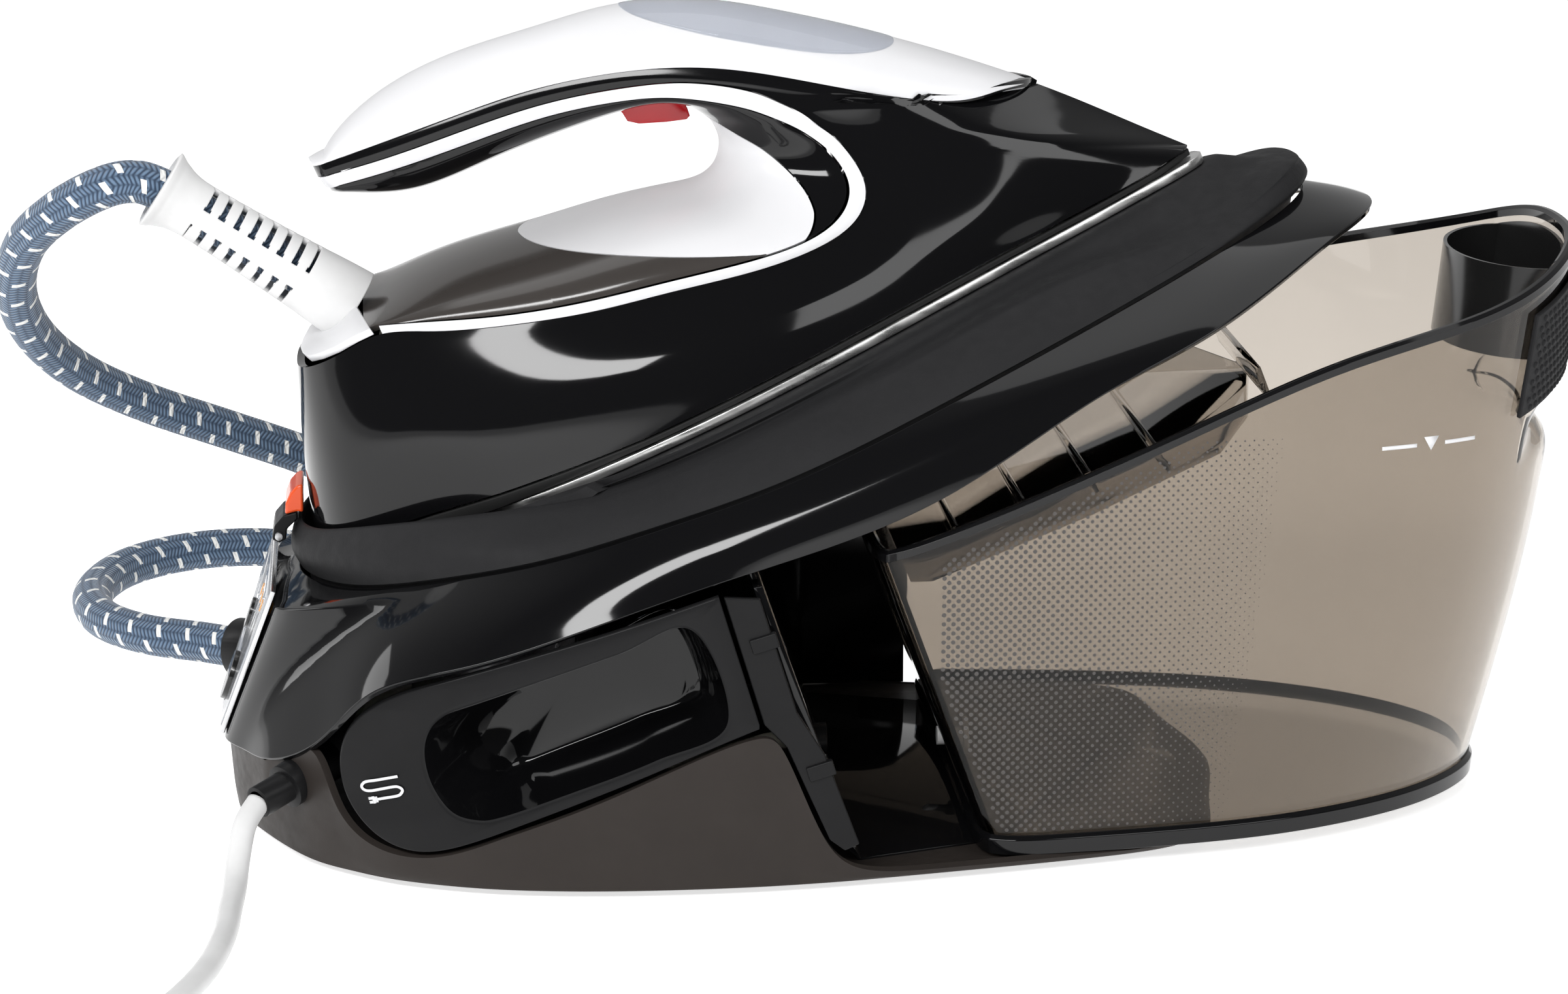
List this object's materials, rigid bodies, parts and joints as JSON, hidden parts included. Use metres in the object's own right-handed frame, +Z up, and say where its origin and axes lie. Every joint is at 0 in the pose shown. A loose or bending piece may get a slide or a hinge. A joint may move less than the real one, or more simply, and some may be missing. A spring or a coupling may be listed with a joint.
{
  "type": "steam generator iron",
  "caption": "Steam generator iron: a hand iron on the sloping rest of a boiler base, with a clear pull-out water tank, steam hose and mains lead.",
  "frame": {"origin": "on the floor under the middle of the object, cords and hose left out", "axes": "+X towards the water tank and the iron's tip, +Y towards the side with the screw-in calc collector, +Z up"},
  "size_m": [0.5031, 0.6944, 0.2573],
  "materials": {
    "gloss_black": "high-gloss piano black",
    "white_gloss": "glossy white",
    "white_satin": "satin white",
    "lens": "clear tinted lens",
    "smoked_deck": "glossy smoked grey-black",
    "sole_metal": "finely brushed",
    "cast_aluminium": "as cast",
    "steel": "plain",
    "heat_black": "heat-proof moulding",
    "textured_black": "fine spark-eroded texture",
    "satin_black": "satin black",
    "warm_grey": "satin warm dark grey",
    "panel_grey": "clear-coated grey",
    "silver_trim": "silver",
    "button_black": "glossy",
    "lamp_amber": "translucent lamp lens",
    "circuit_green": "solder-masked board",
    "trigger_red": "translucent red",
    "lock_orange": "glossy red-orange",
    "brass": "turned",
    "rubber": "matt",
    "smoked_clear": "smoked transparent",
    "silicone": "translucent",
    "hose_braid": "braided textile with white flecks",
    "white_pvc": "soft white",
    "pump_grey": "moulded"
  },
  "bodies": {
    "base": {"lower_housing": "warm_grey", "upper_shell": "gloss_black", "iron_rest": "textured_black", "cord_pocket": "satin_black", "service_panel": "satin_black", "bay_liner": "gloss_black", "control_panel": "panel_grey", "panel_bezel": "silver_trim", "indicator_lamps": "lamp_amber", "control_board": "circuit_green", "cord_gland": "satin_black", "hose_gland": "satin_black", "lock_pin": "steel", "boiler": "steel", "boiler_heater": "steel", "safety_valve": "brass", "solenoid_valve": "pump_grey", "pump": "pump_grey", "water_pipe": "silicone", "steam_pipe": "silicone", "tank_socket": "satin_black", "feet": "rubber", "base_screws": "steel", "steam_hose_lower": "hose_braid", "hose_coil": "hose_braid", "mains_cord": "white_pvc", "mains_coil": "white_pvc", "mains_plug": "white_pvc"},
    "iron": {"soleplate": "sole_metal", "sole_casting": "cast_aluminium", "sole_heater": "steel", "steam_chamber_cover": "steel", "sole_thermostat": "steel", "heat_skirt": "heat_black", "iron_shell": "gloss_black", "handle_top_cover": "white_gloss", "top_lens": "lens", "handle_trim": "white_gloss", "grip_cover": "gloss_black", "saddle_cover": "white_gloss", "heel_deck": "smoked_deck", "trigger_pin": "steel", "trigger_spring": "steel", "trigger_switch": "heat_black", "heel_collar": "white_gloss", "hose_sleeve": "white_satin", "iron_screws": "steel", "iron_steam_tube": "silicone", "steam_hose_upper": "hose_braid"},
    "tank": {"tank_tub": "smoked_clear", "tank_rim": "gloss_black", "tank_skirt": "gloss_black", "tank_cover": "smoked_clear", "tank_grip": "textured_black"},
    "trigger": {"steam_trigger": "trigger_red"},
    "valve": {"tank_valve": "white_satin"},
    "power_key": {"power_button": "button_black"},
    "ok_key": {"ok_button": "button_black"},
    "lock": {"lock_tab": "lock_orange"},
    "collector": {"calc_collector": "button_black"}
  },
  "joints": [
    {"name": "iron_lift", "type": "slide", "parent": "base", "child": "iron", "axis": [-0.3971, 0, 0.9178], "range_m": [0, 0.12]},
    {"name": "trigger_squeeze", "type": "hinge", "parent": "iron", "child": "trigger", "pos_m": [-0.09519, 0, 0.22702], "axis": [0, -1, 0], "range_deg": [0, 4], "stiffness_Nm_per_rad": 0.6, "deforming": ["trigger_spring"]},
    {"name": "tank_slide", "type": "slide", "parent": "base", "child": "tank", "axis": [1, 0, 0], "range_m": [-0.035, 0.12]},
    {"name": "valve_push", "type": "slide", "parent": "tank", "child": "valve", "axis": [1, 0, 0], "range_m": [0, 0.003], "stiffness_N_per_m": 250},
    {"name": "power_press", "type": "slide", "parent": "base", "child": "power_key", "axis": [0.9411, 0, -0.338], "range_m": [0, 0.0015], "stiffness_N_per_m": 600},
    {"name": "ok_press", "type": "slide", "parent": "base", "child": "ok_key", "axis": [0.9411, 0, -0.338], "range_m": [0, 0.0015], "stiffness_N_per_m": 600},
    {"name": "lock_swing", "type": "hinge", "parent": "base", "child": "lock", "pos_m": [-0.1962, 0, 0.09], "axis": [0, -1, 0], "range_deg": [0, 35], "stiffness_Nm_per_rad": 0.03},
    {"name": "collector_turn", "type": "hinge", "parent": "base", "child": "collector", "pos_m": [-0.118, 0.1, 0.044], "axis": [0, 1, 0], "range_deg": [0, 90]}
  ]
}
